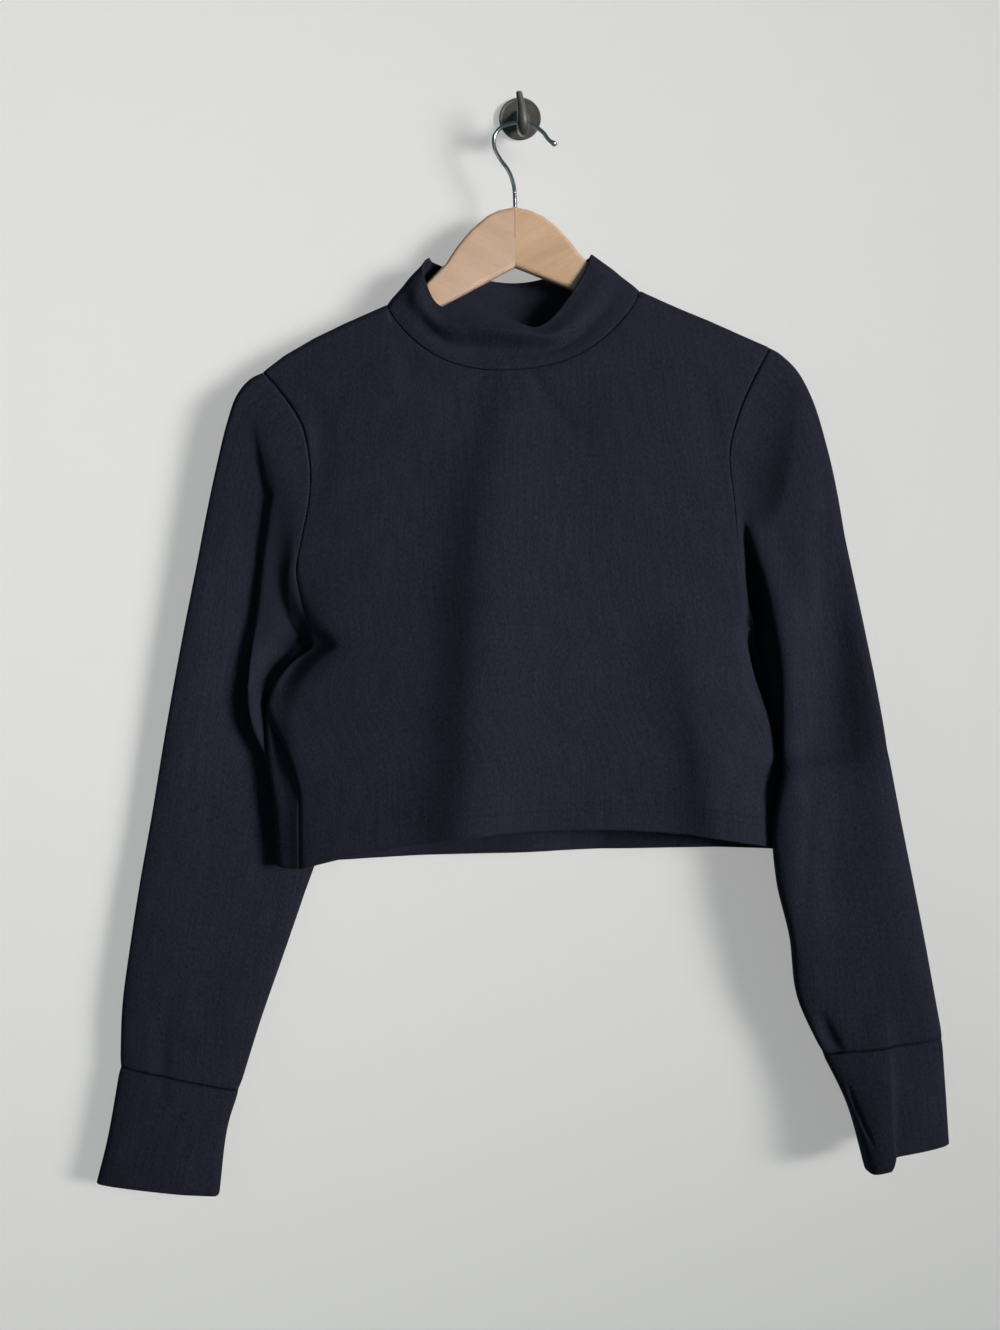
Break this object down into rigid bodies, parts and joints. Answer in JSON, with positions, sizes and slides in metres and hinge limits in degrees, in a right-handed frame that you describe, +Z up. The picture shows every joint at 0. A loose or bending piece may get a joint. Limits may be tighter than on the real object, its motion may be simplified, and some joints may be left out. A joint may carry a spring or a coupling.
{
  "type": "long-sleeved mock-neck crop top on a hanger and wall hook",
  "caption": "Cropped long-sleeved knit top with a mock neck and deep cuffs, hanging on a flat wooden hanger from a round wall hook.",
  "frame": {"origin": "underside of the crown of the hanger's wire hook, where the wall hook carries it", "axes": "+Z up; -Y toward the viewer, the side the garment's front faces; +Y into the wall; +X to the right as the front is seen"},
  "size_m": [0.724, 0.0754, 0.9455],
  "materials": {
    "knit": "matte navy-black double knit",
    "wood": "light beech, satin varnish",
    "chrome": "polished wire",
    "black_paint": "satin black"
  },
  "bodies": {
    "root": {"front": "knit", "back": "knit", "sleeve_left": "knit", "sleeve_right": "knit", "cuff_left": "knit", "cuff_right": "knit", "collar": "knit", "hanger_arm_left": "wood", "hanger_arm_right": "wood", "hanger_hook": "chrome", "wall_hook": "black_paint"}
  },
  "joints": []
}
